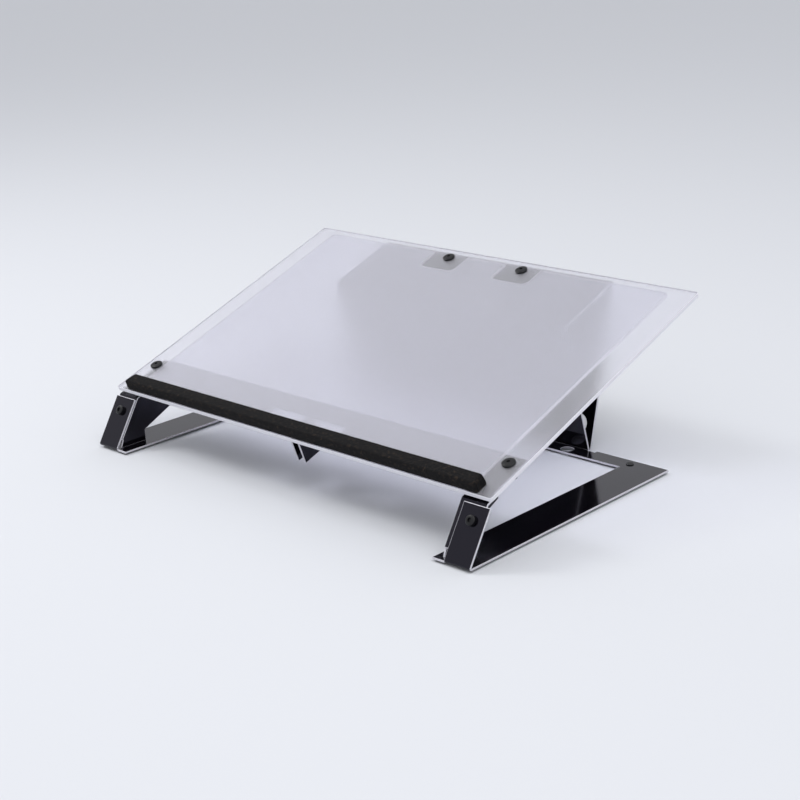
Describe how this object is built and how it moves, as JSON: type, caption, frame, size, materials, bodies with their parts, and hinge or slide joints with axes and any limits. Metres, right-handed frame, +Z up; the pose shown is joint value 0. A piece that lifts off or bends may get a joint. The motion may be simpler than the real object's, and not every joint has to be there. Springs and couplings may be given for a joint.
{
  "type": "document holder",
  "caption": "Sloping desk document holder: folded steel stand, frosted acrylic writing board with a foam paper ledge, and a drawer sheet that slides out under the board.",
  "frame": {"origin": "on the desk, under the middle of the whole object", "axes": "+X to the user's right, +Y away from the user, +Z up; the board's low edge is at -Y"},
  "size_m": [0.5, 0.3399, 0.1695],
  "materials": {
    "coated_steel": "gloss black powder coat on folded sheet",
    "frosted_acrylic": "frosted translucent acrylic, satin face, bright sawn edges",
    "foam": "fine-textured black foam",
    "black_fastener": "black steel, satin",
    "spacer_plastic": "black plastic",
    "foot_rubber": "black rubber"
  },
  "bodies": {
    "stand": {"base_frame": "coated_steel", "rear_support": "coated_steel", "front_crossplate": "coated_steel", "board": "frosted_acrylic", "paper_ledge": "foam", "board_screw_front_left": "black_fastener", "board_screw_front_right": "black_fastener", "board_screw_rear_left": "black_fastener", "board_screw_rear_right": "black_fastener", "spacer_front_left": "spacer_plastic", "spacer_front_right": "spacer_plastic", "spacer_rear_left": "spacer_plastic", "spacer_rear_right": "spacer_plastic", "washer_front_left": "black_fastener", "washer_front_right": "black_fastener", "washer_rear_left": "black_fastener", "washer_rear_right": "black_fastener", "nut_front_left": "black_fastener", "nut_front_right": "black_fastener", "nut_rear_left": "black_fastener", "nut_rear_right": "black_fastener", "leg_bolt_left": "black_fastener", "leg_bolt_right": "black_fastener", "leg_washer_left": "black_fastener", "leg_washer_right": "black_fastener", "leg_nut_left": "black_fastener", "leg_nut_right": "black_fastener", "foot_front_left": "foot_rubber", "foot_front_right": "foot_rubber", "foot_rear_left": "foot_rubber", "foot_rear_right": "foot_rubber"},
    "drawer": {"drawer": "frosted_acrylic"}
  },
  "joints": [
    {"name": "drawer_slide", "type": "slide", "parent": "stand", "child": "drawer", "axis": [0, -0.9409, -0.3387], "range_m": [0, 0.18]}
  ]
}
